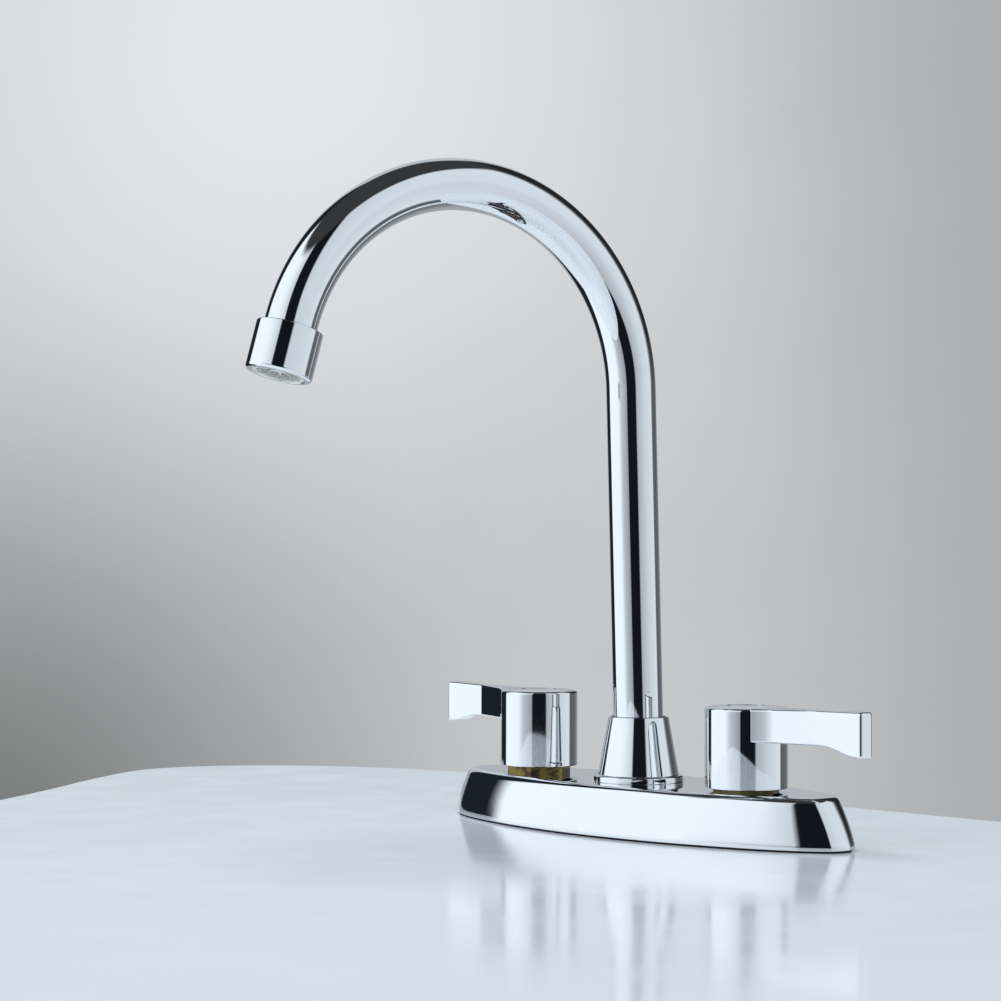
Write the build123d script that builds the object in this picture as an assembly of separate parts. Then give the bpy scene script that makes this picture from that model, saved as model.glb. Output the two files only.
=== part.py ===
from build123d import *
import math
import os

# Two handle centerset faucet with a swivel gooseneck spout, in millimetres.
# The origin is the middle of the footprint on the deck, between the two valves.
# X runs from the hot side (-X) to the cold side (+X), -Y is the front, Z is up.

os.makedirs("parts", exist_ok=True)

# ---------------------------------------------------------------- layout
valve_centres = 101.6      # spacing of the two valves, the 4 inch standard
turned_gap = 0.05          # radial gap of turned pieces that sit in one another
seat_gap = 0.1             # axial gap where one body turns on another
same_size = 0.01           # for picking an edge by its size or its place

# ---------------------------------------------------------------- deck cover
plate_length = 187.2
plate_depth = 62.0
plate_end_radius = 10.5
plate_side_turn = 19.0     # degrees that half of each long side turns through
plate_shoulder_turn = 39.5 # degrees from the middle of a long side to the end of its shoulder
plate_offset = 2.3         # the plate's middle lies this far behind the valve line
plate_height = 18.0        # from the deck to the top face
plate_lip = 1.4            # upright band at the foot of the wall
end_slope = 7.5            # how far the ends lean in from foot to top
side_slope = 4.3           # how far the front and back lean in from foot to top
wall_bulge = 0.6           # how far the wall swells out at half height
plate_edge_radius = 3.2
plate_wall = 2.2
gasket_thickness = 0.7
gasket_inset = 1.2
hole_gap = 0.25            # radial gap of the holes in the deck cover and the pad

# ---------------------------------------------------------------- valve bodies
valve_body_radius = 11.5
shank_radius = 10.45       # major radius of 1/2 inch straight pipe thread
shank_length = 48.0        # below the deck
shank_chamfer = 1.5
shank_bore_radius = 4.8
tower_radius = 8.7         # threaded neck that comes up through the deck cover
tower_bore_radius = 7.2
tower_rise = 4.8           # above the deck cover
seat_height = 2.0          # floor of the cartridge bore, above the deck
lock_nut_flats = 21.0
lock_nut_height = 3.2

# ---------------------------------------------------------------- water way
cross_tube_radius = 5.0
cross_tube_wall = 0.8
cross_tube_height = 8.0
cross_tube_insert = 2.5    # how far each end goes into its socket

# ---------------------------------------------------------------- cartridges
seal_height = 2.0
seal_bore_radius = 3.6
disc_radius = 5.8
disc_height = 2.2
port_inner_radius = 1.7
port_outer_radius = 4.7
port_angle = 78.0
chamber_height = 3.8       # above the discs, where the water leaves sideways
window_width = 7.0
skirt_radius = 6.6
skirt_lift = 0.6           # the seal stands proud of the skirt by this much
stem_flange_height = 1.8
journal_radius = 4.0
bonnet_flats = 15.5
bonnet_head = 4.0
bonnet_neck_radius = 5.3
bonnet_neck = 1.2
tang_width = 3.0
tang_length = 8.4
tang_end_gap = 0.5
tang_depth = 1.1
post_radius = 2.6
spline_tip = 3.9
spline_root = 3.5
spline_teeth = 20
spline_length = 9.8
stop_angle = 40.0          # width of the stop lug in the bonnet
stop_margin = 0.6          # degrees between the lug and each end of the notch
lug_gap = 0.25             # between the lug and the journal
quarter_turn = 90.0        # travel of each handle
o_ring_bead = 0.6          # stem seal, radius of its section
o_ring_height = 5.0        # above the shoulder in the bonnet

# ---------------------------------------------------------------- handles
hub_radius = 14.4
hub_height = 28.0
hub_dome = 0.6
hub_edge_radius = 1.1
hub_wall = 1.7
hub_cavity = 11.5
hub_boss_radius = 6.2
hub_boss_drop = 1.5
cold_handle_gap = 1.15     # between the deck cover and the hub
hot_handle_gap = 2.7       # the hot handle sits higher on its stem
hot_lever_turn = -8.1      # degrees that each lever stands off square on its splines
cold_lever_turn = -4.7
lever_reach = 56.0         # from the hub's axis to the tip
lever_neck = 34.7          # where the root meets the flat paddle
lever_root_angle = 39.5    # where the root leaves the hub
lever_root_bend = 19.0     # where the root's straight side starts to curve out to the hub
lever_root_slope = 13.5    # degrees that the straight side opens towards the hub
neck_thickness = 3.8
tip_thickness = 6.2
lever_underside = 16.6     # above the hub's foot
lever_flare = 36.0         # where the underside starts to curve down
tip_drop = 3.0             # the underside comes down this far at the tip
lever_top_root = 28.1
lever_top_tip = 28.9
tip_corner_radius = 1.2
lever_edge_bevel = 0.5
upright = 0.9              # an edge this near to vertical keeps its corner radius
cap_radius = 6.5
cap_recess = 2.2
cap_gap = 0.1
cap_proud = 0.36           # the button's face above the hub's rim
cap_edge_radius = 0.5
cap_plug_radius = 4.1
cap_plug = 1.2
screw_radius = 2.0
screw_head_radius = 3.9
screw_head = 2.6
screw_grip = 6.0
screw_head_edge = 1.0
screw_head_gap = 0.4
screw_hole_gap = 0.2
screw_slot = 1.0
screw_slot_length = 5.8
web_height = 2.5           # between the spline bore's end and the screw's head
web_gap = 0.3              # the spline bore is this much deeper than the stem

# ---------------------------------------------------------------- spout
tube_radius = 9.0
tube_wall = 1.0
spout_swivel = 11.5        # degrees towards the hot side, as the spout stands
spout_lean = 1.7           # degrees that the upright run leans to its outlet
lean_radius = 120.0
spring_height = 159.6      # where the upright run ends and the bow begins
bow_radius = 70.7
bow_angle = 162.9
socket_body_radius = 12.5
socket_tower_radius = 10.0
socket_bore_radius = 8.0
socket_rise = 10.2         # above the deck cover
ferrule_bore_radius = 5.0
ferrule_depth = 14.6       # below the swivel washer
ferrule_flange_radius = 9.8
ferrule_flange = 1.7
spigot_height = 3.0
spigot_clear = 0.4         # straight tube past the spigot, before it leans
swivel_washer = 1.0
spout_nut_radius = 11.3
spout_nut_lip = 1.5
spout_nut_gap = 0.3        # between its lip and the tube
spout_nut_slot = 3.0
spout_nut_slot_depth = 0.75
spout_o_ring_bead = 0.95
spout_o_ring_heights = (3.2, 8.4)   # above the ferrule's foot

# ---------------------------------------------------------------- collar
collar_flange_radius = 16.2
collar_flange = 2.4
collar_foot_radius = 14.65
collar_rim_radius = 10.85
collar_height = 23.3       # above the deck cover
collar_wall = 0.95
collar_edge_radius = 0.8

# ---------------------------------------------------------------- aerator
aerator_radius = 11.4
aerator_length = 16.6
aerator_start = 1.4        # past the end of the bow
aerator_wall = 1.1
aerator_edge_radius = 1.2
aerator_lip = 1.4
aerator_lip_width = 1.3
tail_length = 9.5          # straight end of the tube, inside the housing
adapter_length = 6.0
aerator_gasket_height = 1.5
aerator_gasket_bore = 7.0
insert_fins = 12
insert_wall = 0.9
insert_post_radius = 2.0
nozzle_wall = 1.35
nozzle_proud = 1.0         # the nozzle stands this far past the ring, inside the lip
fin_thickness = 0.7
fin_top_gap = 1.0
fin_foot_gap = 0.5
screen_bars = 9
screen_bar = 0.5
screen_rim = 1.0

# ---------------------------------------------------------------- mounting
deck_thickness = 20.0      # at which the nuts are shown
washer_radius = 17.0
washer_thickness = 1.6
washer_gap = 0.25
nut_radius = 14.6
nut_height = 12.0
nut_gap = 0.05
wing_reach = 21.0
wing_width = 4.0
wing_height = 9.0
wing_count = 4
wing_root = 12.45          # radius where each wing starts, inside the nut's wall

# ---------------------------------------------------------------- derived heights
plate_ceiling = plate_height - plate_wall
tower_top = plate_height + tower_rise
seal_top = seat_height + seal_height
disc_joint = seal_top + disc_height
disc_top = disc_joint + disc_height
flange_foot = disc_top + chamber_height
shoulder = flange_foot + stem_flange_height + turned_gap
bonnet_top = tower_top + bonnet_head + bonnet_neck
stem_top = bonnet_top + seat_gap + spline_length
socket_top = plate_height + socket_rise
flange_base = socket_top + swivel_washer + turned_gap
tube_foot = flange_base + ferrule_flange
spout_nut_ceiling = tube_foot + seat_gap
spout_nut_top = spout_nut_ceiling + spout_nut_lip
lean_start = tube_foot + spigot_height + spigot_clear
aerator_bore = aerator_radius - aerator_wall
ferrule_radius = socket_bore_radius - turned_gap
ferrule_foot = flange_base - ferrule_depth
seat_of_web = stem_top - plate_height - cold_handle_gap + web_gap
cap_floor = hub_height - cap_recess


def rod(radius, low, high):
    """A round bar along Z between two heights."""
    return Pos(0, 0, low) * Cylinder(radius, high - low, align=(Align.CENTER, Align.CENTER, Align.MIN))


def tube(outer, inner, low, high):
    """A round tube along Z between two heights."""
    return rod(outer, low, high) - rod(inner, low, high)


def hexagon(flats, low, high):
    """A six sided bar along Z, by the distance across its flats."""
    outline = RegularPolygon(flats / 2, 6, major_radius=False)
    return Pos(0, 0, low) * extrude(outline, high - low)


def block(width, depth, low, high):
    """A box centred on the Z axis between two heights."""
    return Pos(0, 0, low) * Box(width, depth, high - low, align=(Align.CENTER, Align.CENTER, Align.MIN))


def ring_bead(centre_radius, bead, height):
    """A round O-ring about the Z axis."""
    return Pos(0, 0, height) * Torus(centre_radius, bead)


def sector(inner, outer, start, end, low, high):
    """A slice of a ring from one angle to another, in degrees."""
    middle = (start + end) / 2

    def at(radius, angle):
        return (radius * math.cos(math.radians(angle)), radius * math.sin(math.radians(angle)))

    outline = (
        Line(at(inner, start), at(outer, start))
        + ThreePointArc(at(outer, start), at(outer, middle), at(outer, end))
        + Line(at(outer, end), at(inner, end))
        + ThreePointArc(at(inner, end), at(inner, middle), at(inner, start))
    )
    return Pos(0, 0, low) * extrude(make_face(outline), high - low)


def oval(half_length, half_depth, end_radius, height):
    """A smooth oval of eight arcs: two long sides, four shoulders and two tight ends."""
    side = math.radians(plate_side_turn)
    shoulder = math.radians(plate_shoulder_turn)
    reach = half_length - end_radius * (1 - math.sin(shoulder))
    drop = half_depth - end_radius * math.cos(shoulder)
    side_span, side_fall = math.sin(side), 1 - math.cos(side)
    span = math.sin(shoulder) - math.sin(side)
    fall = math.cos(side) - math.cos(shoulder)
    share = side_span * fall - span * side_fall
    side_radius = (reach * fall - drop * span) / share
    shoulder_radius = (drop * side_span - reach * side_fall) / share

    def at(turn):
        """The point where the outline has turned this far from the middle of the back."""
        x, y = 0, half_depth
        for radius, low, high in (
            (side_radius, 0, side),
            (shoulder_radius, side, shoulder),
            (end_radius, shoulder, math.pi / 2),
        ):
            reached = min(max(turn, low), high)
            x += radius * (math.sin(reached) - math.sin(low))
            y -= radius * (math.cos(low) - math.cos(reached))
        return (x, y)

    side_end, shoulder_end = at(side), at(shoulder)
    shoulder_middle = at((side + shoulder) / 2)

    def corner(x_way, y_way):
        points = (side_end, shoulder_middle, shoulder_end)
        return ThreePointArc(*[(x * x_way, y * y_way) for x, y in points])

    outline = corner(1, 1) + corner(1, -1) + corner(-1, -1) + corner(-1, 1)
    for way in (-1, 1):
        x, y = side_end
        outline += ThreePointArc((-x, way * y), (0, way * half_depth), (x, way * y))
        x, y = shoulder_end
        outline += ThreePointArc((way * x, y), (way * half_length, 0), (way * x, -y))
    return Pos(0, plate_offset, height) * make_face(outline)


def save(name, shape):
    """Write one piece of the faucet to its own file."""
    shape.label = name
    export_step(shape, f"parts/{name}.step")


# ---------------------------------------------------------------- deck cover


def plate_section(rise, inset, height):
    """The wall's outline at a share of its rise, moved in by an inset."""
    swell = wall_bulge * 4 * rise * (1 - rise)
    return oval(
        plate_length / 2 - end_slope * rise + swell - inset,
        plate_depth / 2 - side_slope * rise + swell - inset,
        plate_end_radius - inset,
        height,
    )


def make_deck_cover():
    lip_top = gasket_thickness + plate_lip
    middle = (lip_top + plate_height) / 2
    foot = extrude(plate_section(0, 0, gasket_thickness), plate_lip)
    wall = loft(
        [
            plate_section(0, 0, lip_top),
            plate_section(0.5, 0, middle),
            plate_section(1, 0, plate_height),
        ]
    )
    shell = foot + wall
    rim = shell.faces().sort_by(Axis.Z)[-1].edges()
    shell = fillet(rim, plate_edge_radius)
    hollow = extrude(plate_section(0, plate_wall, gasket_thickness), plate_lip) + loft(
        [
            plate_section(0, plate_wall, lip_top),
            plate_section(0.5, plate_wall, middle),
            plate_section(1, plate_wall, plate_ceiling),
        ]
    )
    shell -= hollow
    for x in (-valve_centres / 2, valve_centres / 2):
        shell -= Pos(x, 0, 0) * rod(tower_radius + hole_gap, 0, tower_top)
    return shell - rod(socket_tower_radius + hole_gap, 0, tower_top)


def make_base_gasket():
    pad = extrude(plate_section(0, gasket_inset, 0), gasket_thickness)
    for x in (-valve_centres / 2, valve_centres / 2):
        pad -= Pos(x, 0, 0) * rod(shank_radius + hole_gap, 0, gasket_thickness)
    return pad


# ---------------------------------------------------------------- valves


def cross_port(radius, start, end):
    """A round hole or bar along +X at the height of the cross tubes."""
    return Pos(start, 0, cross_tube_height) * Rot(0, 90, 0) * rod(radius, 0, end - start)


def make_valve_body(inward):
    """Inlet shank, cartridge housing and threaded neck; the port faces the spout."""
    body = rod(shank_radius, -shank_length, gasket_thickness)
    body = chamfer(body.edges().sort_by(Axis.Z)[0], shank_chamfer)
    body += rod(valve_body_radius, gasket_thickness, plate_ceiling)
    body += rod(tower_radius, plate_ceiling, tower_top)
    body -= rod(tower_bore_radius, seat_height, tower_top)
    body -= rod(shank_bore_radius, -shank_length, seat_height)
    socket_floor = valve_body_radius - cross_tube_insert
    port = cross_port(cross_tube_radius - cross_tube_wall, 0, socket_floor)
    port += cross_port(cross_tube_radius + turned_gap, socket_floor, 2 * valve_body_radius)
    return body - Rot(0, 0, 0 if inward > 0 else 180) * port


def make_cross_tube():
    near = socket_body_radius - cross_tube_insert
    far = valve_centres / 2 - valve_body_radius + cross_tube_insert
    bore = cross_port(cross_tube_radius - cross_tube_wall, near, far)
    return cross_port(cross_tube_radius, near, far) - bore


def make_lock_nut():
    nut = hexagon(lock_nut_flats, plate_height, plate_height + lock_nut_height)
    return nut - rod(tower_radius + turned_gap, plate_height, tower_top)


def make_bonnet():
    """Cartridge housing: skirt with side windows, thread, hex head and stop lug."""
    skirt_foot = seat_height + skirt_lift
    bonnet = rod(skirt_radius, skirt_foot, shoulder)
    bonnet += rod(tower_bore_radius - turned_gap, shoulder, tower_top)
    bonnet += hexagon(bonnet_flats, tower_top, tower_top + bonnet_head)
    bonnet += rod(bonnet_neck_radius, tower_top + bonnet_head, bonnet_top)
    bonnet -= rod(disc_radius + turned_gap, skirt_foot, shoulder)
    bonnet -= rod(journal_radius + turned_gap, shoulder, bonnet_top)
    bonnet -= block(4 * skirt_radius, window_width, disc_top, flange_foot)
    lug = sector(
        journal_radius + lug_gap,
        skirt_radius,
        -stop_angle / 2,
        stop_angle / 2,
        flange_foot + turned_gap,
        shoulder + turned_gap,
    )
    return bonnet + Rot(0, 0, 90) * lug


def ports():
    """The two kidney openings that the ceramic discs share."""
    half = port_angle / 2
    pair = [
        sector(port_inner_radius, port_outer_radius, mid - half, mid + half, 0, disc_height)
        for mid in (0, 180)
    ]
    return pair[0] + pair[1]


def make_fixed_disc():
    return rod(disc_radius, seal_top, disc_joint) - Pos(0, 0, seal_top) * ports()


def make_moving_disc():
    """Shut at rest: its openings stand a quarter turn from the fixed disc's."""
    disc = rod(disc_radius, disc_joint, disc_top) - Pos(0, 0, disc_joint) * Rot(0, 0, 90) * ports()
    length = tang_length + 2 * tang_end_gap
    groove = block(length, tang_width + 2 * turned_gap, disc_top - tang_depth, disc_top)
    return disc - groove


def make_seat_seal():
    return tube(disc_radius, seal_bore_radius, seat_height, seal_top)


def make_bonnet_ring():
    """Seal between the cartridge and the bore, just above the windows."""
    return tube(tower_bore_radius - turned_gap, skirt_radius + turned_gap, flange_foot, shoulder)


def spline(tip, root, low, high):
    """A toothed bar for the handle to push onto."""
    points = []
    for step in range(2 * spline_teeth):
        radius = tip if step % 2 == 0 else root
        angle = math.pi * step / spline_teeth
        points.append((radius * math.cos(angle), radius * math.sin(angle)))
    outline = make_face(Polyline(*points, close=True))
    return Pos(0, 0, low) * extrude(outline, high - low)


def make_stem(turn):
    """Tang, flange with stop notch, journal, spline and tapped end."""
    stem = block(tang_length, tang_width, disc_top - tang_depth, disc_top + tang_depth)
    stem += rod(post_radius, disc_top, flange_foot)
    stem += rod(disc_radius - turned_gap, flange_foot, flange_foot + stem_flange_height)
    stem += rod(journal_radius, flange_foot, bonnet_top)
    notch = [90 - stop_angle / 2 - stop_margin, 90 + stop_angle / 2 + stop_margin]
    if turn > 0:
        notch[0] -= quarter_turn
    else:
        notch[1] += quarter_turn
    notch_floor = journal_radius + lug_gap - turned_gap
    stem -= sector(
        notch_floor, 2 * disc_radius, notch[0], notch[1], flange_foot, flange_foot + stem_flange_height
    )
    stem -= tube(2 * journal_radius, stem_ring_centre() - o_ring_bead, ring_low(), ring_high())
    stem += spline(spline_tip, spline_root, bonnet_top, stem_top)
    return stem - rod(screw_radius + turned_gap, bonnet_top, stem_top)


def stem_ring_centre():
    return journal_radius - o_ring_bead


def ring_low():
    return shoulder + o_ring_height - o_ring_bead - turned_gap


def ring_high():
    return shoulder + o_ring_height + o_ring_bead + turned_gap


def make_stem_ring():
    return ring_bead(stem_ring_centre(), o_ring_bead, shoulder + o_ring_height)


# ---------------------------------------------------------------- handles


def lever_plan():
    """Outline from above: root that opens to the hub, narrow neck, paddle that swells to its tip."""
    angle = math.radians(lever_root_angle)
    slope = math.radians(lever_root_slope)
    root = (hub_radius * math.cos(angle), hub_radius * math.sin(angle))
    neck = (lever_neck, neck_thickness / 2)
    bend = (lever_root_bend, neck[1] + (lever_neck - lever_root_bend) * math.tan(slope))
    tip = (lever_reach, tip_thickness / 2)

    def mirrored(point):
        return (point[0], -point[1])

    outline = (
        Line((0, root[1]), root)
        + TangentArc(bend, root, tangent=(-math.cos(slope), math.sin(slope)))
        + Line(bend, neck)
        + Line(neck, tip)
        + Line(tip, mirrored(tip))
        + Line(mirrored(tip), mirrored(neck))
        + Line(mirrored(neck), mirrored(bend))
        + TangentArc(mirrored(bend), mirrored(root), tangent=(-math.cos(slope), -math.sin(slope)))
        + Line(mirrored(root), (0, -root[1]))
        + Line((0, -root[1]), (0, root[1]))
    )
    return make_face(outline)


def lever_side():
    """Outline from the side: nearly level top, underside that swings down to the tip."""
    low = lever_underside - tip_drop
    swing = (lever_swing(), (lever_underside + low) / 2)
    outline = (
        Line((0, lever_underside), (lever_flare, lever_underside))
        + TangentArc((lever_flare, lever_underside), swing, tangent=(1, 0))
        + TangentArc((lever_reach, low), swing, tangent=(-1, 0))
        + Line((lever_reach, low), (lever_reach, lever_top_tip))
        + Line((lever_reach, lever_top_tip), (hub_radius, lever_top_root))
        + Line((hub_radius, lever_top_root), (0, lever_top_root))
        + Line((0, lever_top_root), (0, lever_underside))
    )
    return make_face(Plane.XZ * outline)


def lever_swing():
    """Where the underside's two arcs meet."""
    return (lever_flare + lever_reach) / 2


def make_lever():
    blank = extrude(lever_plan(), 2 * hub_height)
    profile = extrude(lever_side(), hub_radius, both=True)
    lever = blank & profile
    corners = lever.edges().filter_by(Axis.Z).sort_by(Axis.X)[-2:]
    lever = fillet(corners, tip_corner_radius)
    rims = [
        edge
        for edge in lever.edges()
        if edge.bounding_box().max.X > hub_radius
        and abs(edge.center().X - lever_flare) > same_size
        and abs(edge.center().X - lever_swing()) > same_size
        and abs(edge.tangent_at(0.5).Z) < upright
    ]
    return chamfer(rims, lever_edge_bevel)


def make_hub():
    """Turned shell with a shallow domed top, from its foot at Z 0."""
    rim = hub_radius - hub_edge_radius
    outline = (
        Line((0, 0), (hub_radius, 0))
        + Line((hub_radius, 0), (hub_radius, hub_height - hub_edge_radius))
        + RadiusArc((hub_radius, hub_height - hub_edge_radius), (rim, hub_height), -hub_edge_radius)
        + TangentArc((0, hub_height + hub_dome), (rim, hub_height), tangent=(1, 0))
        + Line((0, hub_height + hub_dome), (0, 0))
    )
    return revolve(make_face(Plane.XZ * outline), Axis.Z)


def make_handle(lever_turn):
    """Hub and lever with its foot at Z 0 and the lever near +X."""
    handle = make_hub() + Rot(0, 0, lever_turn) * make_lever()
    cavity = rod(hub_radius - hub_wall, 0, hub_cavity)
    cavity -= rod(hub_boss_radius, hub_cavity - hub_boss_drop, hub_cavity)
    handle -= cavity
    handle -= spline(
        spline_tip + turned_gap, spline_root + turned_gap, hub_cavity - hub_boss_drop, seat_of_web
    )
    handle -= rod(screw_radius + screw_hole_gap, 0, hub_height)
    handle -= rod(screw_head_radius + screw_head_gap, seat_of_web + web_height, hub_height)
    return handle - rod(cap_radius + cap_gap, cap_floor, 2 * hub_height)


def make_handle_screw():
    """Pan head screw with a cross slot; it ends in the stem."""
    head_low = seat_of_web + web_height
    screw = rod(screw_radius, head_low - web_height - screw_grip, head_low)
    screw += rod(screw_head_radius, head_low, head_low + screw_head)
    screw = fillet(screw.edges().sort_by(Axis.Z)[-1], screw_head_edge)
    for angle in (0, 90):
        slot = block(screw_slot_length, screw_slot, head_low + screw_head / 2, head_low + screw_head)
        screw -= Rot(0, 0, angle) * slot
    return screw


def make_index_cap():
    """Push-in button with a domed face."""
    cap = rod(cap_radius, cap_floor, hub_height + cap_proud)
    cap = fillet(cap.edges().sort_by(Axis.Z)[-1], cap_edge_radius)
    return cap + rod(cap_plug_radius, cap_floor - cap_plug, cap_floor)


# ---------------------------------------------------------------- spout


def make_spout_socket():
    """Centre tee: both cross tubes enter it, the spout turns in it."""
    body = rod(socket_body_radius, gasket_thickness, plate_ceiling)
    body += rod(socket_tower_radius, plate_ceiling, socket_top)
    body -= rod(socket_bore_radius, cross_tube_height - cross_tube_radius, socket_top)
    floor = socket_body_radius - cross_tube_insert
    for side in (0, 180):
        port = cross_port(cross_tube_radius - cross_tube_wall, 0, floor)
        port += cross_port(cross_tube_radius + turned_gap, floor, 2 * socket_body_radius)
        body -= Rot(0, 0, side) * port
    return body


def make_swivel_washer():
    return tube(ferrule_flange_radius, socket_bore_radius + turned_gap, socket_top, socket_top + swivel_washer)


def make_spout_nut():
    """Clamps the deck cover and keeps the spout's flange down."""
    nut = rod(spout_nut_radius, plate_height, spout_nut_top)
    nut -= rod(socket_tower_radius + turned_gap, plate_height, spout_nut_ceiling)
    nut -= rod(tube_radius + spout_nut_gap, plate_height, spout_nut_top)
    for angle in (0, 90):
        nut -= Rot(0, 0, angle) * block(
            4 * spout_nut_radius, spout_nut_slot, spout_nut_top - spout_nut_slot_depth, spout_nut_top
        )
    return nut


def make_spout_collar():
    """Chrome cone that hides the nut, with a round flange on the deck cover."""
    foot = plate_height
    step = foot + collar_flange
    top = foot + collar_height
    slope = (collar_foot_radius - collar_rim_radius) / (top - step)
    outline = Polyline(
        (collar_foot_radius - collar_wall, foot),
        (collar_flange_radius, foot),
        (collar_flange_radius, step),
        (collar_foot_radius, step),
        (collar_rim_radius, top),
        (collar_rim_radius - collar_wall, top),
        (collar_foot_radius - collar_wall - slope * collar_wall, step),
        close=True,
    )
    collar = revolve(make_face(Plane.XZ * outline), Axis.Z)
    shoulder_edge = [
        edge
        for edge in collar.edges().filter_by(GeomType.CIRCLE)
        if abs(edge.radius - collar_flange_radius) < same_size and abs(edge.center().Z - step) < same_size
    ]
    return fillet(shoulder_edge, collar_edge_radius)


def make_spout_ferrule():
    """Turned end of the spout, with a bearing flange and two seal grooves."""
    ferrule = rod(ferrule_radius, ferrule_foot, flange_base)
    ferrule += rod(ferrule_flange_radius, flange_base, tube_foot)
    ferrule += rod(tube_radius - tube_wall - turned_gap, tube_foot, tube_foot + spigot_height)
    ferrule -= rod(ferrule_bore_radius, ferrule_foot, tube_foot + spigot_height)
    for height in spout_o_ring_heights:
        centre = ferrule_foot + height
        reach = spout_o_ring_bead + turned_gap
        floor = ferrule_radius - 2 * spout_o_ring_bead - turned_gap
        ferrule -= tube(2 * ferrule_radius, floor, centre - reach, centre + reach)
    return ferrule


def make_spout_rings():
    centre = ferrule_radius - spout_o_ring_bead - turned_gap / 2
    return [ring_bead(centre, spout_o_ring_bead, ferrule_foot + height) for height in spout_o_ring_heights]


def spout_points():
    """The tube's centre line, as distance towards the outlet and height."""
    lean = math.radians(spout_lean)
    total = math.radians(spout_lean + bow_angle)
    bend_end = (lean_radius * (1 - math.cos(lean)), lean_start + lean_radius * math.sin(lean))
    run = (spring_height - bend_end[1]) / math.cos(lean)
    spring = (bend_end[0] + run * math.sin(lean), spring_height)
    centre = (spring[0] + bow_radius * math.cos(lean), spring[1] - bow_radius * math.sin(lean))

    def on_bow(angle):
        return (centre[0] - bow_radius * math.cos(angle), centre[1] + bow_radius * math.sin(angle))

    end = on_bow(total)
    tail = (end[0] + tail_length * math.sin(total), end[1] + tail_length * math.cos(total))
    half_lean = (
        lean_radius * (1 - math.cos(lean / 2)),
        lean_start + lean_radius * math.sin(lean / 2),
    )
    return {
        "foot": (0, tube_foot),
        "lean_start": (0, lean_start),
        "half_lean": half_lean,
        "bend_end": bend_end,
        "spring": spring,
        "crown": on_bow((lean + total) / 2),
        "end": end,
        "tail": tail,
        "direction": (math.sin(total), math.cos(total)),
    }


def forward(point):
    """A point of the spout's own plane, before the spout is swivelled."""
    return (0, -point[0], point[1])


def make_spout_tube():
    p = {name: forward(point) for name, point in spout_points().items()}
    path = Wire(
        [
            Edge.make_line(p["foot"], p["lean_start"]),
            Edge.make_three_point_arc(p["lean_start"], p["half_lean"], p["bend_end"]),
            Edge.make_line(p["bend_end"], p["spring"]),
            Edge.make_three_point_arc(p["spring"], p["crown"], p["end"]),
            Edge.make_line(p["end"], p["tail"]),
        ]
    )
    section = Pos(0, 0, tube_foot) * (Circle(tube_radius) - Circle(tube_radius - tube_wall))
    return sweep(section, path=path)


def outlet_frame():
    """Where the bow ends: +Z of this frame points the way the water leaves."""
    points = spout_points()
    return Plane(origin=forward(points["end"]), x_dir=(1, 0, 0), z_dir=forward(points["direction"]))


def make_outlet_adapter():
    """Threaded ring brazed on the tube, for the housing to screw onto."""
    return tube(aerator_bore - turned_gap, tube_radius + turned_gap, tail_length - adapter_length, tail_length)


def make_aerator_housing():
    foot = aerator_start + aerator_length
    shell = rod(aerator_radius, aerator_start, foot)
    shell = fillet(shell.edges().sort_by(Axis.Z)[-1], aerator_edge_radius)
    shell -= rod(aerator_bore, aerator_start, foot - aerator_lip)
    return shell - rod(aerator_bore - aerator_lip_width, aerator_start, foot)


def make_aerator_gasket():
    return tube(aerator_bore - turned_gap, aerator_gasket_bore, tail_length, insert_low())


def insert_low():
    return tail_length + aerator_gasket_height


def insert_high():
    return aerator_start + aerator_length - aerator_lip


def make_aerator_insert():
    """Plastic flow straightener: a ring with a centre post and radial fins."""
    outer = aerator_bore - turned_gap
    low = insert_low() + screen_bar
    insert = tube(outer, outer - insert_wall, low, insert_high())
    nozzle = aerator_bore - aerator_lip_width - turned_gap
    insert += tube(nozzle, nozzle - nozzle_wall, low, insert_high() + nozzle_proud)
    insert += rod(insert_post_radius, low, insert_high())
    reach = outer - insert_wall / 2
    for step in range(insert_fins):
        fin = block(reach, fin_thickness, low + fin_top_gap, insert_high() - fin_foot_gap)
        insert += Rot(0, 0, 360 * step / insert_fins) * Pos(reach / 2, 0, 0) * fin
    return insert


def make_aerator_screen():
    """Fine strainer above the straightener, drawn as crossed bars in a rim."""
    outer = aerator_bore - turned_gap
    low = insert_low()
    disc = rod(outer, low, low + screen_bar)
    pitch = 2 * (outer - screen_rim) / screen_bars
    mesh = pitch - screen_bar
    half = (screen_bars - 1) / 2
    for row in range(screen_bars):
        for column in range(screen_bars):
            x = (row - half) * pitch
            y = (column - half) * pitch
            if math.hypot(abs(x) + mesh / 2, abs(y) + mesh / 2) < outer - screen_rim:
                disc -= Pos(x, y, 0) * block(mesh, mesh, low, low + screen_bar)
    return disc


# ---------------------------------------------------------------- mounting


def make_mounting_washer():
    return tube(washer_radius, shank_radius + washer_gap, -deck_thickness - washer_thickness, -deck_thickness)


def make_mounting_nut():
    """Wing nut that pulls the faucet down on the deck from below."""
    top = -deck_thickness - washer_thickness
    foot = top - nut_height
    nut = rod(nut_radius, foot, top)
    for step in range(wing_count):
        wing = Pos((wing_reach + wing_root) / 2, 0, 0) * block(
            wing_reach - wing_root, wing_width, foot, foot + wing_height
        )
        nut += Rot(0, 0, 45 + 360 * step / wing_count) * wing
    return nut - rod(shank_radius + nut_gap, foot, top)


# ---------------------------------------------------------------- assembly

swivelled = Rot(0, 0, -spout_swivel)
outlet = outlet_frame()

save("deck_cover", make_deck_cover())
save("base_gasket", make_base_gasket())
save("spout_socket", make_spout_socket())
save("swivel_washer", make_swivel_washer())
save("spout_nut", make_spout_nut())
save("spout_collar", make_spout_collar())

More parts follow.
